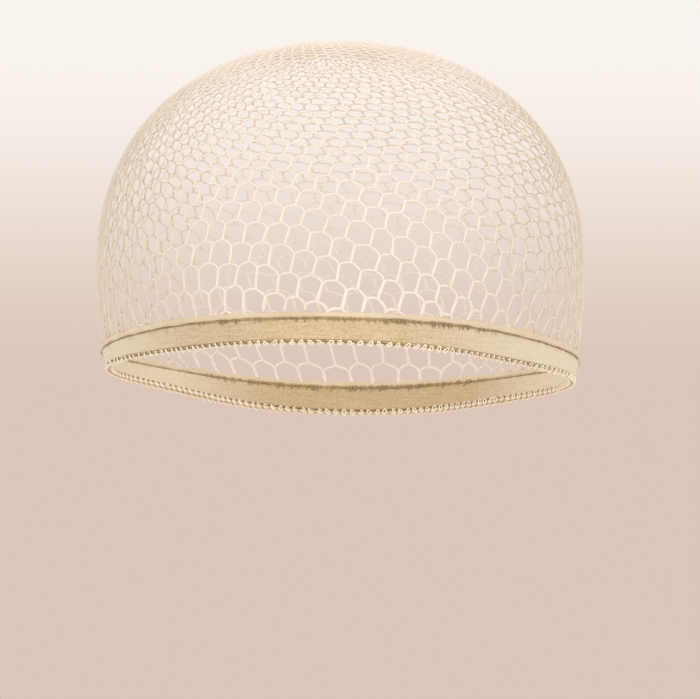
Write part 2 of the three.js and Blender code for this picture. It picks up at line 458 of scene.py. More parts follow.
def make_piece(name, mesh_parts, material, node):
    """Puts points, faces and corner maps into a smooth-shaded mesh, which stands for a node."""
    points, faces, maps = mesh_parts
    sizes = np.concatenate([np.full(len(f), f.shape[1]) for f in faces])
    corners = np.concatenate([f.ravel() for f in faces])
    mesh = bpy.data.meshes.new(name)
    mesh.vertices.add(len(points))
    mesh.vertices.foreach_set("co", points.astype(np.float32).ravel())
    mesh.loops.add(len(corners))
    mesh.loops.foreach_set("vertex_index", corners.astype(np.int32))
    mesh.polygons.add(len(sizes))
    mesh.polygons.foreach_set("loop_start", (np.cumsum(sizes) - sizes).astype(np.int32))
    layer = mesh.uv_layers.new(name=MAP_NAME)
    flat = np.concatenate([m.reshape(-1, 2) for m in maps])
    layer.data.foreach_set("uv", flat.astype(np.float32).ravel())
    mesh.update(calc_edges=True)
    mesh.polygons.foreach_set("use_smooth", np.ones(len(sizes), bool))
    if mesh.validate():
        raise RuntimeError(f"{name} has faces that aren't valid")
    mesh.materials.append(material)
    piece = placed(name, mesh)
    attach(piece, "root")
    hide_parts(node)
    return piece


# Materials. Noise scales are in cells to a metre, and a shade is the gain and the shift with which a
# pattern darkens the tone.

SIDE_SHADE_AND_PALE_SPAN = (0.03, 0.07)  # from the cap's middle plane: where the sides' tone starts and is full, painted shade on the net's yarns and the paler elastic on the band
SHEEN_WEIGHT, SHEEN_ROUGHNESS = 0.1, 0.5

TONE_SCALE, TONE_DETAIL = 95.0, 3.0
LINT_SCALE = 1900.0
# Painted shade: how much the tone darkens in the valleys between a thread's plies
PLY_VALLEY_PAINTED_SHADE = 0.30
TONE_SHADE = (0.9, -0.35)
LINT_SHADE = (0.4, -0.2)
LINT_HEIGHT = 0.35  # over that of a ply
THREAD_BUMP = (0.00005, 0.6)  # distance and strength
THREAD_SPECULAR = 0.25

STREAKS_ALONG, STREAKS_ACROSS, STREAK_DETAIL = 60.0, 26.0, 4.0
GRAIN_SCALE = 1500.0
# The knit's stitches, darker in their valleys: partly the knit's own pattern, partly painted shade
STITCH_PATTERN_AND_SHADE = (-0.85, 0.7)
STREAK_SHADE = (1.3, -0.65)
GRAIN_SHADE = (1.6, -0.8)
GRAIN_HEIGHT = 0.5  # over that of a stitch
BACK_PAINTED_SHADE_SPAN = (-0.04, 0.06)  # along the depth: where the painted shade on the band's back starts and is full
BACK_PAINTED_SHADE = 0.3
PALE_SHADE = 0.35  # how much of the pattern is left where the elastic is stretched
ELASTIC_BUMP = (0.00009, 0.7)
ELASTIC_ROUGHNESS, ELASTIC_SPECULAR = 0.86, 0.2


class Nodes:
    """A node tree under construction."""

    def __init__(self, owner):
        owner.use_nodes = True
        self.tree = owner.node_tree

    def add(self, kind, inputs=None, **settings):
        """A new node of a kind, with its settings and inputs."""
        node = self.tree.nodes.new("ShaderNode" + kind)
        for key, value in settings.items():
            setattr(node, key, value)
        self.feed(node, inputs or {})
        return node

    def feed(self, node, inputs):
        """Links sockets to a node's inputs, and sets its other inputs to their values."""
        for key, value in inputs.items():
            if isinstance(value, bpy.types.NodeSocket):
                self.tree.links.new(value, node.inputs[key])
            else:
                node.inputs[key].default_value = value

    def math(self, operation, *values):
        """What an operation makes of its values."""
        return self.add("Math", dict(enumerate(values)), operation=operation).outputs[0]

    def held(self, value):
        """A value held between 0 and 1."""
        return self.add("Clamp", {"Value": value}).outputs[0]

    def parts(self, vector):
        """The X, Y and Z of a vector."""
        return self.add("SeparateXYZ", {"Vector": vector}).outputs

    def blend(self, part, start, end, kind="MIX"):
        """Colour a part of the way from start to end, or to their product."""
        node = self.add("Mix", data_type="RGBA", blend_type=kind)
        self.feed(node, {"Factor": part, 6: opaque(start), 7: opaque(end)})
        return node.outputs[2]

    def ramp(self, value, low, high, most=1.0, kind="SMOOTHSTEP"):
        """A smooth step of a value, or a line, from 0 at low to the most at high."""
        inputs = {"Value": value, "From Min": low, "From Max": high, "To Max": most}
        return self.add("MapRange", inputs, interpolation_type=kind).outputs[0]

    def noise(self, vector, scale, detail=2.0):
        """Soft noise between 0 and 1."""
        node = self.add("TexNoise", {"Vector": vector, "Scale": scale, "Detail": detail})
        return node.outputs["Fac"]


class Finish(Nodes):
    """A material under construction."""

    def __init__(self, name):
        self.material = bpy.data.materials.new(name)
        super().__init__(self.material)
        self.shader = self.tree.nodes["Principled BSDF"]

    def cloth(self, tint, roughness, specular, height, bump):
        """Feeds the shader a matt cloth of a tint, with a height that its bump follows."""
        distance, strength = bump
        relief = {"Height": height, "Distance": distance, "Strength": strength}
        inputs = {
            "Base Color": tint,
            "Roughness": roughness,
            "Sheen Weight": SHEEN_WEIGHT,
            "Sheen Roughness": SHEEN_ROUGHNESS,
            "Specular IOR Level": specular,
            "Normal": self.add("Bump", relief).outputs["Normal"],
        }
        self.feed(self.shader, inputs)
        return self.material


def opaque(value):
    """A colour with its alpha, or a socket as it is."""
    return value if isinstance(value, bpy.types.NodeSocket) else (*value, 1.0)


def place(finish):
    """Object coordinates, and the piece's own map as its two parts."""
    coordinates = finish.add("TexCoord")
    parts = finish.parts(finish.add("UVMap", uv_map=MAP_NAME).outputs["UV"])
    return coordinates.outputs["Object"], parts["X"], parts["Y"]


def thread_finish(name, light, dark, plies=2.0, twist=0.4, roughness=0.82, side=None):
    """Twisted thread: plies wind round it as a sine of its map, lower between them in the bump and darker
    there as painted shade, and soft noise changes the tone from place to place. A side colour darkens it
    towards the sides of the cap as painted shade, where the net turns from the light."""
    finish = Finish(name)
    where, around, along = place(finish)
    wound = finish.math("ADD", finish.math("MULTIPLY", around, plies), finish.math("MULTIPLY", along, twist))
    ply = finish.math("SINE", finish.math("MULTIPLY", wound, FULL_TURN))
    ply = finish.math("MULTIPLY_ADD", ply, 0.5, 0.5)
    tone = finish.noise(where, TONE_SCALE, TONE_DETAIL)
    lint = finish.noise(where, LINT_SCALE)
    # painted shade in the valleys between the plies
    part = finish.math("MULTIPLY", finish.math("SUBTRACT", 1.0, ply), PLY_VALLEY_PAINTED_SHADE)
    part = finish.math("ADD", part, finish.math("MULTIPLY_ADD", tone, *TONE_SHADE))
    part = finish.math("ADD", part, finish.math("MULTIPLY_ADD", lint, *LINT_SHADE))
    tint = finish.blend(finish.held(part), light, dark)
    # Painted shade: the side colour darkens the tint towards the cap's sides
    if side is not None:
        aside = finish.ramp(finish.math("ABSOLUTE", finish.parts(where)["X"]), *SIDE_SHADE_AND_PALE_SPAN)
        tint = finish.blend(aside, tint, side, "MULTIPLY")
    height = finish.math("MULTIPLY_ADD", lint, LINT_HEIGHT, ply)
    return finish.cloth(tint, roughness, THREAD_SPECULAR, height, THREAD_BUMP)


def elastic_finish(band):
    """Knitted elastic: stitches in slanting lines as a product of two sines on its map, darker in their
    valleys partly as painted shade, streaks that run along it, a golden tone at the front, a darker one at
    the back as painted shade of its inside, and a paler one at the sides."""
    finish = Finish("knitted_elastic")
    where, along, across = place(finish)
    wale = finish.math("SINE", finish.math("MULTIPLY", along, FULL_TURN * band.ribs))
    course = finish.math("SINE", finish.math("MULTIPLY", across, FULL_TURN * band.courses * BAND_ROUND))
    stitch = finish.math("MULTIPLY_ADD", finish.math("MULTIPLY", wale, course), 0.5, 0.5)
    streak_along = finish.math("MULTIPLY", along, STREAKS_ALONG)
    streak_across = finish.math("MULTIPLY", across, STREAKS_ACROSS)
    streak_place = finish.add("CombineXYZ", {"X": streak_along, "Y": streak_across})
    streak = finish.noise(streak_place.outputs[0], 1.0, STREAK_DETAIL)
    grain = finish.noise(where, GRAIN_SCALE)
    # the stitch pattern, partly painted shade in its valleys
    part = finish.math("MULTIPLY_ADD", stitch, *STITCH_PATTERN_AND_SHADE)
    part = finish.math("ADD", part, finish.math("MULTIPLY_ADD", streak, *STREAK_SHADE))
    part = finish.held(finish.math("ADD", part, finish.math("MULTIPLY_ADD", grain, *GRAIN_SHADE)))
    apart = finish.parts(where)
    aside = finish.math("ABSOLUTE", finish.math("MULTIPLY_ADD", apart["Y"], -band.skew, apart["X"]))
    # Painted shade: the tone darkens towards the band's back, whose inside lies in shade
    back_painted_shade = finish.ramp(apart["Y"], *BACK_PAINTED_SHADE_SPAN, BACK_PAINTED_SHADE, "LINEAR")
    golden = finish.blend(part, finish.blend(back_painted_shade, band.light, band.dark), band.dark)
    pale = finish.blend(finish.math("MULTIPLY", part, PALE_SHADE), band.pale, band.dark)
    tint = finish.blend(finish.ramp(aside, *SIDE_SHADE_AND_PALE_SPAN), golden, pale)
    height = finish.math("MULTIPLY_ADD", grain, GRAIN_HEIGHT, stitch)
    return finish.cloth(tint, ELASTIC_ROUGHNESS, ELASTIC_SPECULAR, height, ELASTIC_BUMP)


# The net

YARN_SIDES = 5
CROSSING_RINGS = np.array([0, 0.45, 0.75, 0.93])  # parts of a crossing, closer where it bends most
BAR_SIDES = 4
BAR_RINGS = 6
BAR_FINENESS = 0.84  # its radius over the yarns'
BARLESS_ROWS = 3  # under the gather
MOST_APART = 0.22  # of a cell, from a pillar's middle to its yarns
DIVE_ROWS = 0.3  # over which a yarn comes out of the hem
EVENING = 4  # unevenness dies out over the last of so many parts of the rows
TOP_GAP = 1e-4  # share of the climb left out at the summit, where the wall has no girth
STRAY_WAVES = 14
STRAY_CLIMBS = (0.5, 2.4)  # radians of a wave to each row


def stray(net, number):
    """A seeded smooth field over the net, about one cell wide: a sum of waves of random direction and
    phase, two to nine columns long and whole round the cap. It returns a function of column and row."""
    draws = np.random.default_rng(net.seed + number)
    rounds = draws.integers(net.columns // 9, net.columns // 2, STRAY_WAVES)
    climbs = draws.uniform(*STRAY_CLIMBS, STRAY_WAVES) * draws.choice([-1, 1], STRAY_WAVES)
    phases = draws.uniform(0, FULL_TURN, STRAY_WAVES)
    size = math.sqrt(2 / STRAY_WAVES)

    def field(column, row):
        """The field at places in the net, about 1 in size."""
        total = np.zeros(np.broadcast(column, row).shape)
        for rounded, climbed, phase in zip(rounds, climbs, phases):
            total += np.cos(FULL_TURN * rounded * column / net.columns + climbed * row + phase)
        return size * total

    return field


class Lattice:
    """Where the net's columns and rows lie on the wall.

    Row numbers count from the hem, and a row's pitch falls from the rim to the top by a power of the way
    that is left. Rows rise and fall in two sways round the cap that die out to the top. Columns lean, and
    stand closer at the front than at the back."""

    def __init__(self, dome, net, hem_climb):
        self.dome, self.net = dome, net
        top = top_climb(dome)
        climb = np.linspace(0, top * (1 - TOP_GAP), TABLE_STEPS)
        face = dome_face(dome, MEAN_ANGLE, climb)
        step = np.linalg.norm(np.diff(face, axis=0), axis=1)
        radius = np.hypot(face[:, 0], face[:, 1])
        pitch = mix(net.cell_height_top, net.cell_height, (1 - climb / top) ** net.cell_fall)
        row = np.concatenate([[0], np.cumsum(step / ((pitch[1:] + pitch[:-1]) / 2))])
        self.climb, self.radius = climb, radius
        self.row = row - np.interp(hem_climb, climb, row)
        widest = radius.argmax()
        self.first_row = math.floor(-net.sway_once - net.sway_twice - 1)
        self.top_row = float(np.interp(-net.top_radius, -radius[widest:], self.row[widest:]))
        self.stray_column, self.stray_row = stray(net, 0), stray(net, 1)

    def cell_width(self, row):
        """Width of a cell in a row, from the wall's girth."""
        return FULL_TURN * np.interp(row, self.row, self.radius) / self.net.columns

    def spread(self, column, row):
        """Angle and settled row of a place in the lattice."""
        net = self.net
        left = np.clip(1 - row / self.top_row, 0, 1)
        uneven = net.unevenness * np.minimum(1, EVENING * left)
        column = column + uneven * self.stray_column(column, row)
        row = row + uneven * self.stray_row(column, row)
        angle = FULL_TURN * (column + net.lean * row) / net.columns
        angle = angle - net.crowding * np.sin(angle)
        sway = net.sway_once * np.sin(angle - net.turn_once)
        sway = sway + net.sway_twice * np.sin(2 * (angle - net.turn_twice))
        return angle, row - sway * smooth(left / net.calming)

    def wall(self, column, row, depth):
        """Points of the wall, and the directions out of it, at places in the lattice."""
        angle, settled = self.spread(column, row)
        return wall_point(self.dome, angle, np.interp(settled, self.row, self.climb), depth)


def crossed(net, part):
    """How far a yarn has crossed at a part of its crossing: a blend of a smooth step and of a quarter
    oval, 1 - sqrt(1 - p^2), which arches over the cell."""
    held = np.clip(part, 0, 1)
    return mix(smooth(held), 1 - np.sqrt(1 - held**2), net.arch)


def yarn_swing(net, row):
    """0 where a yarn runs in its own pillar, 1 where it runs half a cell aside: it keeps to a pillar
    for a share of each row, and crosses in the rest, forth in even rows and back in odd."""
    number = np.floor(row)
    crossing = crossed(net, (row - number - net.pillar) / (1 - net.pillar))
    aside = np.mod(number, 2)
    return aside + (1 - 2 * aside) * crossing


def yarn_rows(lattice):
    """Row numbers of a yarn's rings: two in the pillar and the rest in the crossing of each row."""
    pillar = lattice.net.pillar
    numbers = np.arange(lattice.first_row, math.ceil(lattice.top_row))
    parts = np.concatenate([[0, pillar / 2], pillar + (1 - pillar) * CROSSING_RINGS])
    rows = (numbers[:, None] + parts).ravel()
    return rows[rows < lattice.top_row]


def yarn_radius(lattice, settled):
    """Radius of a yarn by its row over the hem: swollen over a few rows at the hem, and finer to the top."""
    net = lattice.net
    swollen = 1 + net.edge_swell * (1 - smooth(settled / net.edge_rows))
    return net.yarn / 2 * swollen * mix(1, net.top_fineness, smooth(settled / lattice.top_row))


def yarn_depth(lattice, settled):
    """Depth of a yarn's middle: its outside lies in the dome's face, and its end dives into the hem."""
    return yarn_radius(lattice, settled) + lattice.net.edge_dive * (1 - smooth(settled / DIVE_ROWS))


def knit_yarns(lattice, side):
    """One family of yarns, all those that first cross to one side, cut off where they meet the hem."""
    net = lattice.net
    own = np.arange(net.columns)

    def columns_at(row):
        """Columns in which the yarns run at their rows."""
        swing = yarn_swing(net, row)
        apart = np.minimum(net.closeness * net.yarn / lattice.cell_width(row), MOST_APART)
        return own[:, None] + side * (swing / 2 + apart * (1 - 2 * swing))

    rows = np.tile(yarn_rows(lattice), (net.columns, 1))
    settled = lattice.spread(columns_at(rows), rows)[1]
    above = np.argmax(settled > 0, axis=1)
    low, high = settled[own, above - 1], settled[own, above]
    rows[own, above - 1] = mix(rows[own, above - 1], rows[own, above], -low / (high - low))
    kept = np.arange(rows.shape[1]) >= (above - 1)[:, None]
    settled = lattice.spread(columns_at(rows), rows)[1]
    points, out = lattice.wall(columns_at(rows), rows, yarn_depth(lattice, settled))
    return tube_mesh(points, out, yarn_radius(lattice, settled), YARN_SIDES, kept=kept)


def knit_bars(lattice):
    """The eyelet bars: under each place where two yarns meet, an arch from one to the other."""
    net = lattice.net
    number = np.arange(lattice.first_row, math.floor(lattice.top_row) - BARLESS_ROWS)
    number, own = np.meshgrid(number, np.arange(net.columns), indexing="ij")
    number, own = number.reshape(-1, 1), own.reshape(-1, 1)
    middle = own + np.mod(number + 1, 2) / 2
    reach = (1 - crossed(net, net.eyelet)) / 2
    along = np.linspace(-1, 1, BAR_RINGS)
    column = middle + reach * along
    row = number + net.pillar + (1 - net.pillar) * net.eyelet + net.eyelet_bow * (1 - along**2)
    settled = lattice.spread(column, row)[1]
    on_net = settled.min(axis=1) > 0
    column, row, settled = column[on_net], row[on_net], settled[on_net]
    points, out = lattice.wall(column, row, yarn_depth(lattice, settled))
    return tube_mesh(points, out, BAR_FINENESS * yarn_radius(lattice, settled), BAR_SIDES)


class HAIRNET_OT_net(bpy.types.Operator):
    """Knit the net crown: two families of yarns that meet in pillars, and the bars of their eyelets"""

    bl_idname = "hairnet.net"
    bl_label = "Knit the net"

    def execute(self, context):
        made = context.scene.hairnet
        net = made.net
        lattice = Lattice(made.dome, net, (made.hem.bottom + made.hem.top) / 2)
        # net.side paints shade on the yarn towards the cap's sides
        yarn = thread_finish("net_yarn", net.light, net.dark, twist=0.35, side=net.side)
        for name, side in (("net_yarns_right", 1), ("net_yarns_left", -1)):
            make_piece(name, knit_yarns(lattice, side), yarn, "net_crown")
        make_piece("net_eyelets", knit_bars(lattice), yarn, "net_crown")
        return {"FINISHED"}


# The gather at the top of the crown

PLEAT_STEPS = 6  # points round each pleat
GATHER_ROWS = 16
GATHER_POLE = 0.06  # of the radius, where the rows end round the pole
PLEAT_TWIST = 2.5  # radians that the pleats turn from the rim to the pole
PLEAT_GROWTH = 0.35  # of the radius, over which they swell from the pole
PLEAT_EASE, PLEAT_REST = 0.7, 0.35  # where they start to ease, and what is left of them at the rim
DIMPLE_DEPTH, DIMPLE_SIZE = 0.5, 0.16  # over the rise, and of the radius


def pleated_gather(dome, gather):
    """A low button over the summit: its section runs in from the rim over the top to a pole, and back
    out underneath. The upper face is (1 - s^2)^1.5 of the rise, less a dimple at the middle, with pleats
    as a cosine of the angle that swell from the pole and ease to the rim. s is the radius over the
    gather's."""
    steps, rows = gather.pleats * PLEAT_STEPS, GATHER_ROWS
    angle = shares(steps) * FULL_TURN
    part = np.linspace(1, GATHER_POLE, rows)[:, None]
    slope_climb = np.linspace(dome.widest_height, top_climb(dome), TABLE_STEPS)
    face = dome_face(dome, MEAN_ANGLE, slope_climb)
    climb = np.interp(-part * gather.radius, -np.hypot(face[:, 0], face[:, 1]), slope_climb)
    fold = np.cos(gather.pleats * angle + PLEAT_TWIST * (1 - part))
    eased = smooth((part - PLEAT_EASE) / (1 - PLEAT_EASE))
    swell = smooth(part / PLEAT_GROWTH) * mix(1, PLEAT_REST, eased)
    dimple = DIMPLE_DEPTH * np.exp(-((part / DIMPLE_SIZE) ** 2))
    height = gather.rise * ((1 - part**2) ** 1.5 - dimple) + 0.5 * gather.pleat_height * swell * fold
    upper = wall_point(dome, angle, climb, -height)[0]
    lower = wall_point(dome, angle, climb, gather.thickness)[0][::-1]
    summit = np.array([0, 0, dome.summit])
    poles = summit + [[0, 0, float(height[-1].mean())], [0, 0, -gather.thickness]]
    points = np.concatenate([lower.reshape(-1, 3), upper.reshape(-1, 3), poles])
    quads, uv = grid_quads(2 * rows, steps, False, True)
    step = np.arange(steps)
    beside = (step + 1) % steps
    pole = np.full(steps, 2 * rows * steps)
    last = (2 * rows - 1) * steps
    fans = [np.stack([last + step, last + beside, pole], 1), np.stack([beside, step, pole + 1], 1)]
    return points, [quads, *fans], [uv, np.zeros((steps, 3, 2)), np.zeros((steps, 3, 2))]


class HAIRNET_OT_gather(bpy.types.Operator):
    """Pleat the gather at the top of the crown"""

    bl_idname = "hairnet.gather"
    bl_label = "Pleat the gather"

    def execute(self, context):
        made = context.scene.hairnet
        finish = thread_finish("gathered_net", made.net.light, made.net.dark, plies=0.0, twist=0.0)
        make_piece("net_gather", pleated_gather(made.dome, made.gather), finish, "net_crown")
        return {"FINISHED"}


# The hem and its seam. Parts of the rim count once round it from the front.

WINDING_STEPS = 6  # points along each winding
WINDING_SLANT = 0.9  # radians
WINDING_MEAN = 0.6  # about that of a rectified sine
HEM_SIDES = 14
HEM_WAVES = ((23, 0.0), (41, 1.3))  # slow waves round the roll, and the phase of each one
HEM_WAVE = 0.00007  # their height

SEAM_STEPS, SEAM_SIDES = 900, 6
SEAM_WAVES = ((87, 0.00012), (31, 0.0001))  # waves round the cap, and the height of each one
SEAM_FULL, SEAM_FADE = 0.35, 0.5  # of the mouth's half width: where it starts to thin, and over how much

STITCH_RINGS, STITCH_SIDES = 6, 5
STITCH_ENDS = 0.12  # of the half sine that tapers it, left out at either end
CLUMPS, CLUMP_SPAN, CLUMP_SIZE = 9, 0.085, 0.02  # places where stitches crowd, in parts of the rim
CROWDED = 0.6  # share of the stitches that crowd
LOOSE_SPAN = 0.11  # where the rest lie
STITCH_START = 0.0004  # over the roll's lower side
STITCH_REACH = (0.0002, 0.0013)  # down the band, least and most
STITCH_SLANT = (0.0011, 0.0009)  # mean and spread, in parts of the rim
STITCH_BOW, STITCH_SINK = 0.00016, 0.00005  # out of the wall, and how far its ends lie in it
STITCH_LIFT = 0.00015  # of those on the inner face

FIBRE_RINGS, FIBRE_SIDES = 5, 3
FIBRE_SLANT, FIBRE_CURL = 0.0016, 0.0004  # spreads, in parts of the rim
FIBRE_DROP, FIBRE_LIFT = (0.0004, 0.0021), (0.0001, 0.0009)  # least and most
FIBRE_TAPER = (1.1, 0.5)  # its radius at the root and the tip, over the even one
FIBRE_ROOT = 0.0002  # over the roll's lower side, and out of the wall


def rolled_hem(dome, hem):
    """An oval roll: its half sizes swell by a rectified sine of the way round plus the turn of the
    section, so that windings slant over it, and by slow waves that make it hand-sewn."""
    part = shares(hem.windings * WINDING_STEPS)
    around = ((np.arange(HEM_SIDES) + 0.5) / HEM_SIDES * FULL_TURN)[:, None]
    winding = np.abs(np.sin(math.pi * hem.windings * part + WINDING_SLANT * np.sin(around)))
    slow = sum(np.sin(FULL_TURN * waves * part + phase) for waves, phase in HEM_WAVES)
    swell = hem.relief * (winding - WINDING_MEAN) + HEM_WAVE * slow
    climb = (hem.bottom + hem.top) / 2 + ((hem.top - hem.bottom) / 2 + swell) * np.cos(around)
    depth = hem.thickness / 2 - hem.proud + (hem.thickness / 2 + swell) * np.sin(around)
    return ring_mesh(dome, climb, depth, rim_angle(dome, part))


def seam_thread(dome, hem, band):
    """A dark thread round the cap in the seam under the roll, on both faces, with a slight wander up and
    down; its dark tone is partly painted shade of the gap under the roll. It thins to the sides of the cap,
    where the elastic closes over it."""
    part = shares(SEAM_STEPS)
    angle = rim_angle(dome, part)
    wander = sum(height * np.sin(FULL_TURN * waves * part) for waves, height in SEAM_WAVES)
    meshes = []
    for depth in (hem.seam / 2, band.thickness - hem.seam / 2):
        points, out = wall_point(dome, angle, (hem.bottom + band.top) / 2 + wander, depth)
        aside = smooth((np.abs(points[:, 0]) / dome.mouth_half_width - SEAM_FULL) / SEAM_FADE)
        radius = hem.seam / 2 * mix(1, hem.seam_thinness, aside)
        meshes.append(ring_tube(points, out, radius, SEAM_SIDES))
    return joined(meshes)


def overlock_stitches(dome, hem, band):
    """Short stitches over the seam on both faces, at random places at the front and the back that crowd
    round a few of them: from the roll down to the band, each one bowed out from the wall, uneven in
    length and slant."""
    draws = np.random.default_rng(hem.seed)
    each = (hem.stitches, 1)
    along = np.linspace(0, 1, STITCH_RINGS)
    taper = hem.stitch / 2 * np.sqrt(np.sin(math.pi * mix(STITCH_ENDS, 1 - STITCH_ENDS, along)))
    bow = STITCH_BOW * np.sin(math.pi * along**0.8) + hem.proud * (1 - along) - STITCH_SINK
    meshes = []
    for depth in (-bow, band.thickness + bow + STITCH_LIFT):
        clump = draws.uniform(-CLUMP_SPAN, CLUMP_SPAN, CLUMPS)
        crowd = clump[draws.integers(0, CLUMPS, each)] + draws.normal(0, CLUMP_SIZE, each)
        loose = draws.uniform(-LOOSE_SPAN, LOOSE_SPAN, each)
        start = np.where(draws.uniform(0, 1, each) < CROWDED, crowd, loose)
        start = start + draws.integers(0, 2, each) / 2
        slant = draws.normal(*STITCH_SLANT, each)
        reach = draws.uniform(*STITCH_REACH, each)
        angle = rim_angle(dome, start + slant * along)
        climb = mix(hem.bottom + STITCH_START, band.top - reach, along)
        meshes.append(tube_mesh(*wall_point(dome, angle, climb, depth), taper, STITCH_SIDES))
    return joined(meshes)


def loose_fibres(dome, hem, band):
    """Short fibre ends along the seam on both faces: each one curls from the roll's lower side down over
    the band, by a random length, slant and lift."""
    draws = np.random.default_rng(hem.seed + 1)
    each = (hem.fibres, 1)
    along = np.linspace(0, 1, FIBRE_RINGS)
    start = draws.uniform(0, 1, each)
    slant = draws.normal(0, FIBRE_SLANT, each)
    drop = draws.uniform(*FIBRE_DROP, each)
    lift = draws.uniform(*FIBRE_LIFT, each)
    curl = draws.normal(0, FIBRE_CURL, each)
    face = draws.choice([1, -1], each)
    angle = rim_angle(dome, start + slant * along + curl * np.sin(math.pi * along))
    climb = hem.bottom + FIBRE_ROOT - drop * along
    bow = FIBRE_ROOT + lift * along**1.5
    points, _ = wall_point(dome, angle, climb, np.where(face > 0, -bow, band.thickness + bow))
    around = wall_axes(dome, angle, climb)[0]
    return tube_mesh(points, around, hem.fibre / 2 * mix(*FIBRE_TAPER, along), FIBRE_SIDES)


class HAIRNET_OT_hem(bpy.types.Operator):
    """Roll the hem, and sew it to the band with its seam thread, stitches and loose fibres"""

    bl_idname = "hairnet.hem"
    bl_label = "Roll and sew the hem"

    def execute(self, context):
        made = context.scene.hairnet
        dome, hem, band = made.dome, made.hem, made.band
        roll = thread_finish("hem_roll_thread", hem.light, hem.dark, plies=0.0, twist=0.0, roughness=0.7)
        # The seam, the stitches and the fibres share this finish, whose dark is partly painted shade of the
        # seam's gap
        thread = thread_finish("seam_thread", hem.seam_light, hem.seam_thread_and_shade_tone)
        make_piece("hem_roll_wound", rolled_hem(dome, hem), roll, "hem_roll")
        make_piece("hem_seam", seam_thread(dome, hem, band), thread, "hem_roll")
        make_piece("hem_stitches", overlock_stitches(dome, hem, band), thread, "hem_roll")
        make_piece("hem_fibres", loose_fibres(dome, hem, band), thread, "hem_roll")
        return {"FINISHED"}


# The elastic band

RIB_STEPS = 3  # points round each rib
EDGE_ROUNDING = 0.35  # of the band's thickness
EDGE_BEND = np.array([0.3, 0.7]) * math.pi  # points on its rounded edges


def knitted_band(dome, band):
    """A flat ring with rounded edges. Its section runs down the inner face, under the lower edge, up the
    outer face and over the top edge. Both faces carry knitted stitches: the product of a sine of the way
    round and a sine of the way along the section, so that they stand in slanting lines."""
    part = shares(band.ribs * RIB_STEPS)
    edge = band.thickness * EDGE_ROUNDING
    low, high = band.bottom + edge, band.top - edge
    outer = np.linspace(low, high, BAND_ROWS)
    rounded = edge * np.sin(EDGE_BEND)
    climb = np.concatenate([outer[::-1], low - rounded, outer, high + rounded])[:, None]
    flat, bend = np.ones(BAND_ROWS), np.cos(EDGE_BEND)
    turned = np.concatenate([flat, bend, -flat, -bend])[:, None]
    across = shares(len(climb))[:, None]
    wale = np.sin(FULL_TURN * band.ribs * part)
    stitch = wale * np.sin(FULL_TURN * band.courses * BAND_ROUND * across)
    depth = band.thickness / 2 * (1 + turned) + turned * band.relief * (0.5 * stitch - 0.5)
    return ring_mesh(dome, climb, depth, rim_angle(dome, part))


class HAIRNET_OT_band(bpy.types.Operator):
    """Knit the elastic band"""

    bl_idname = "hairnet.band"
    bl_label = "Knit the band"

    def execute(self, context):
        made = context.scene.hairnet
        mesh_parts = knitted_band(made.dome, made.band)
        make_piece("band_knit", mesh_parts, elastic_finish(made.band), "elastic_band")
        return {"FINISHED"}


# The chain edge

LOOP_RINGS, LOOP_SIDES = 12, 4
LOOP_LEAN, LOOP_SIZE = (0.3, 0.45), (1, 0.12)  # mean and spread
LOOP_WIDTH = (0.6, 1.3)  # least and most
LOOP_SHIFT = 0.08  # spread, in loops
LOOP_LIFT, LOOP_TILT = 0.00012, 0.00015  # out of the cord, and more or less at a loop's two sides

RUNNER_STEPS, RUNNER_SIDES = 6, 5  # of the thread under the loops: points to each loop, and sides
RUNNER_FINENESS = 0.8  # its diameter over theirs
RUNNER_DROP, RUNNER_SWING = 0.25, 0.65  # over a loop's half height
RUNNER_LIFT = 0.52  # over the cord's diameter

BINDING_STEPS, BINDING_SIDES = 8, 5
BINDING_WANDER, BINDING_SINK, BINDING_SWING = 0.0001, 0.00015, 0.00035
CORD_STEPS, CORD_SIDES = 720, 8
BINDING_PLACE, CORD_PLACE = 0.62, 0.55  # shares of the edge's height


def chain_place(dome, chain, part, climb, lift):
    """Points on the edge at a part of the rim and a climb, lifted out from the edge's middle."""
    return wall_point(dome, rim_angle(dome, part), climb, chain.depth - lift)


def looped_chain(dome, chain):
    """Loops along both faces, each one an oval of its own width and lean, and a thin thread that goes
    under each loop and up to the next in a wave."""
    turned = shares(LOOP_RINGS) * FULL_TURN
    rim = rim_way(dome)[1][-1]
    each = (chain.loops, 1)
    middle = shares(chain.loops)[:, None]
    part = shares(chain.loops * RUNNER_STEPS)
    wave = np.cos(FULL_TURN * chain.loops * part)
    draws = np.random.default_rng(chain.seed)
    meshes = []
    for face in (1, -1):
        lean = draws.normal(*LOOP_LEAN, each)
        size = draws.normal(*LOOP_SIZE, each)
        width = chain.half_width * draws.uniform(*LOOP_WIDTH, each)
        shift = draws.normal(0, LOOP_SHIFT / chain.loops, each)
        up = size * chain.half_height * np.sin(turned)
        swing = middle + shift + (width * np.cos(turned) + lean * up) / rim
        lift = face * (chain.core / 2 + LOOP_LIFT + LOOP_TILT * np.cos(turned))
        points, out = chain_place(dome, chain, swing, chain.top / 2 + up, lift)
        meshes.append(tube_mesh(points, out, chain.thread / 2, LOOP_SIDES, closed=True))
        climb = chain.top / 2 - chain.half_height * (RUNNER_DROP + RUNNER_SWING * wave)
        points, out = chain_place(dome, chain, part, climb, face * chain.core * RUNNER_LIFT)
        meshes.append(ring_tube(points, out, chain.thread / 2 * RUNNER_FINENESS, RUNNER_SIDES))
    return joined(meshes)


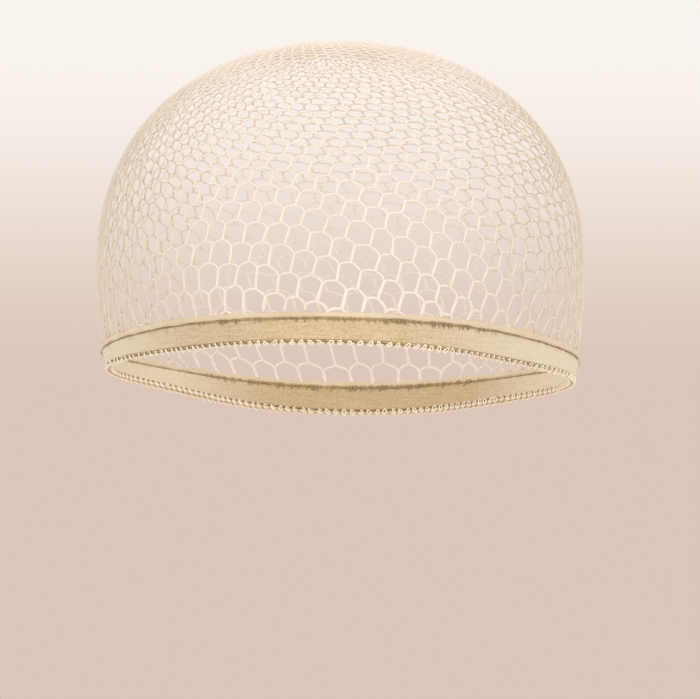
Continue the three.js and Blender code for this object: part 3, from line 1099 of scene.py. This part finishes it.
def chain_binding(dome, chain):
    """A dark thread on each face that comes out of the cord between the loops, by a cosine of the way
    round, and lies inside it elsewhere."""
    part = shares(chain.loops * BINDING_STEPS)
    spin = FULL_TURN * chain.loops * part
    climb = chain.top * BINDING_PLACE + BINDING_WANDER * np.sin(spin)
    lift = chain.core / 2 - BINDING_SINK - BINDING_SWING * np.cos(spin)
    places = [chain_place(dome, chain, part, climb, face * lift) for face in (1, -1)]
    return joined([ring_tube(*place_out, chain.binding / 2, BINDING_SIDES) for place_out in places])


def chain_core(dome, chain):
    """An even cord round the rim behind the loops."""
    part = shares(CORD_STEPS)
    points, out = chain_place(dome, chain, part, chain.top * CORD_PLACE, 0.0)
    return ring_tube(points, out, chain.core / 2, CORD_SIDES)


class HAIRNET_OT_chain(bpy.types.Operator):
    """Loop the chain edge round its core"""

    bl_idname = "hairnet.chain"
    bl_label = "Loop the chain edge"

    def execute(self, context):
        made = context.scene.hairnet
        dome, chain = made.dome, made.chain
        thread = thread_finish("chain_loops", chain.light, chain.dark)
        core = thread_finish("chain_cord", chain.core_light, chain.core_dark, plies=3.0, twist=0.3)
        dark = tuple(0.5 * tone for tone in chain.binding_tone)
        binding = thread_finish("chain_binding", chain.binding_tone, dark)
        make_piece("chain_loops", looped_chain(dome, chain), thread, "chain_edge")
        make_piece("chain_cord", chain_core(dome, chain), core, "chain_edge")
        make_piece("chain_binding", chain_binding(dome, chain), binding, "chain_edge")
        return {"FINISHED"}


# The stage

LAMPS = (  # name, position, side and watts
    ("key", (-0.5, -1.3, 0.9), 1.0, 3.8),
    ("fill", (0.7, -1.4, 0.0), 1.0, 3.0),
    ("back", (0.2, 1.2, 1.0), 0.8, 2.0),
)
LAMP_AIM = Vector((0, 0, 0.05))
SENSOR_WIDTH = 36  # millimetres
NEAR_CLIP, FAR_CLIP = 0.01, 100
FLOOR_LINES = 9
FLOOR_NOISE, FLOOR_ROUGHNESS = 3.0, 0.9
FLOOR_SHADE = 0.97  # darkest over palest


def soft_light(name, position, size, watts):
    """A square area light that looks at the cap."""
    lamp = bpy.data.lights.new(name, "AREA")
    lamp.shape, lamp.size, lamp.energy = "SQUARE", size, watts
    held = placed(name, lamp)
    held.visible_camera = False
    held.location = position
    held.rotation_euler = (LAMP_AIM - Vector(position)).to_track_quat("-Z", "Y").to_euler()


def studio_world(stage):
    """A backdrop for the camera that pales smoothly with the height over the horizon, and an even soft
    light on the cap."""
    world = bpy.data.worlds.new("studio")
    nodes = Nodes(world)
    direction = nodes.add("TexCoord").outputs["Generated"]
    tones = nodes.add("ValToRGB", {"Fac": nodes.parts(direction)["Z"]})
    tones.color_ramp.interpolation = "EASE"
    low, high = tones.color_ramp.elements
    low.position, high.position = math.sin(stage.backdrop_start), math.sin(stage.backdrop_end)
    low.color, high.color = opaque(stage.backdrop_low), opaque(stage.backdrop_high)
    shown = nodes.tree.nodes["Background"]
    nodes.feed(shown, {"Color": tones.outputs["Color"]})
    lit = nodes.add("Background", {"Color": (1, 1, 1, 1), "Strength": stage.ambient})
    seen = nodes.add("LightPath").outputs["Is Camera Ray"]
    either = nodes.add("MixShader", {"Fac": seen, 1: lit.outputs[0], 2: shown.outputs[0]})
    nodes.feed(nodes.tree.nodes["World Output"], {"Surface": either.outputs[0]})
    bpy.context.scene.world = world


def pale_floor(stage):
    """A flat square grid under the cap, which leaves the soft light from below as it is."""
    line = np.linspace(-0.5, 0.5, FLOOR_LINES) * stage.floor_size
    x, y = np.meshgrid(line, line)
    points = np.stack([x, y, np.full_like(x, stage.floor_level)], axis=-1).reshape(-1, 3)
    quads, _ = grid_quads(FLOOR_LINES, FLOOR_LINES, False, False)
    mesh = bpy.data.meshes.new("floor")
    mesh.from_pydata(points, [], quads.tolist())
    finish = Finish("pale_floor")
    where = finish.add("TexCoord").outputs["Object"]
    dark = tuple(FLOOR_SHADE * tone for tone in stage.floor_tone)
    tint = finish.blend(finish.noise(where, FLOOR_NOISE), stage.floor_tone, dark)
    finish.feed(finish.shader, {"Base Color": tint, "Roughness": FLOOR_ROUGHNESS})
    mesh.materials.append(finish.material)
    floor = placed("floor", mesh)
    floor.visible_diffuse = False


def photo_camera(stage):
    """A long lens from the front, a little under the rim, aimed a little right of and above the origin."""
    lens = bpy.data.cameras.new("camera")
    camera = placed("camera", lens)
    forward = Vector((0, math.cos(stage.tilt), math.sin(stage.tilt)))
    upward = Vector((0, -math.sin(stage.tilt), math.cos(stage.tilt)))
    camera.location = -stage.distance * forward
    target = stage.aim_right * Vector((1, 0, 0)) + stage.aim_up * upward
    camera.rotation_euler = (target - camera.location).to_track_quat("-Z", "Y").to_euler()
    lens.sensor_width = SENSOR_WIDTH
    lens.lens = SENSOR_WIDTH * stage.distance / stage.view_width
    lens.clip_start, lens.clip_end = NEAR_CLIP, FAR_CLIP
    bpy.context.scene.camera = camera


class HAIRNET_OT_stage(bpy.types.Operator):
    """Set the camera, the lights, the backdrop and the floor"""

    bl_idname = "hairnet.stage"
    bl_label = "Set the stage"

    def execute(self, context):
        stage = context.scene.hairnet.stage
        photo_camera(stage)
        studio_world(stage)
        pale_floor(stage)
        for lamp in LAMPS:
            soft_light(*lamp)
        context.scene.view_settings.view_transform = "Standard"
        context.scene.view_settings.look = "None"
        return {"FINISHED"}


# The add-on

OPERATORS = (
    HAIRNET_OT_net,
    HAIRNET_OT_gather,
    HAIRNET_OT_hem,
    HAIRNET_OT_band,
    HAIRNET_OT_chain,
    HAIRNET_OT_stage,
)


class HAIRNET_PT_panel(bpy.types.Panel):
    """The hairnet's steps in the sidebar"""

    bl_idname = "HAIRNET_PT_panel"
    bl_label = "Hairnet"
    bl_space_type = "VIEW_3D"
    bl_region_type = "UI"
    bl_category = "Hairnet"

    def draw(self, context):
        for operator in OPERATORS:
            self.layout.operator(operator.bl_idname)


CLASSES = (
    HairnetDome,
    HairnetNet,
    HairnetGather,
    HairnetHem,
    HairnetBand,
    HairnetChain,
    HairnetStage,
    HairnetSettings,
    *OPERATORS,
    HAIRNET_PT_panel,
)


def register():
    """Makes the classes and the scene's settings known."""
    for kind in CLASSES:
        bpy.utils.register_class(kind)
    bpy.types.Scene.hairnet = PointerProperty(type=HairnetSettings)


def unregister():
    """Takes them away again."""
    del bpy.types.Scene.hairnet
    for kind in reversed(CLASSES):
        bpy.utils.unregister_class(kind)


def main():
    """Makes every piece and the stage."""
    register()
    bpy.ops.hairnet.net()
    bpy.ops.hairnet.gather()
    bpy.ops.hairnet.hem()
    bpy.ops.hairnet.band()
    bpy.ops.hairnet.chain()
    bpy.ops.hairnet.stage()


if __name__ == "__main__":
    main()
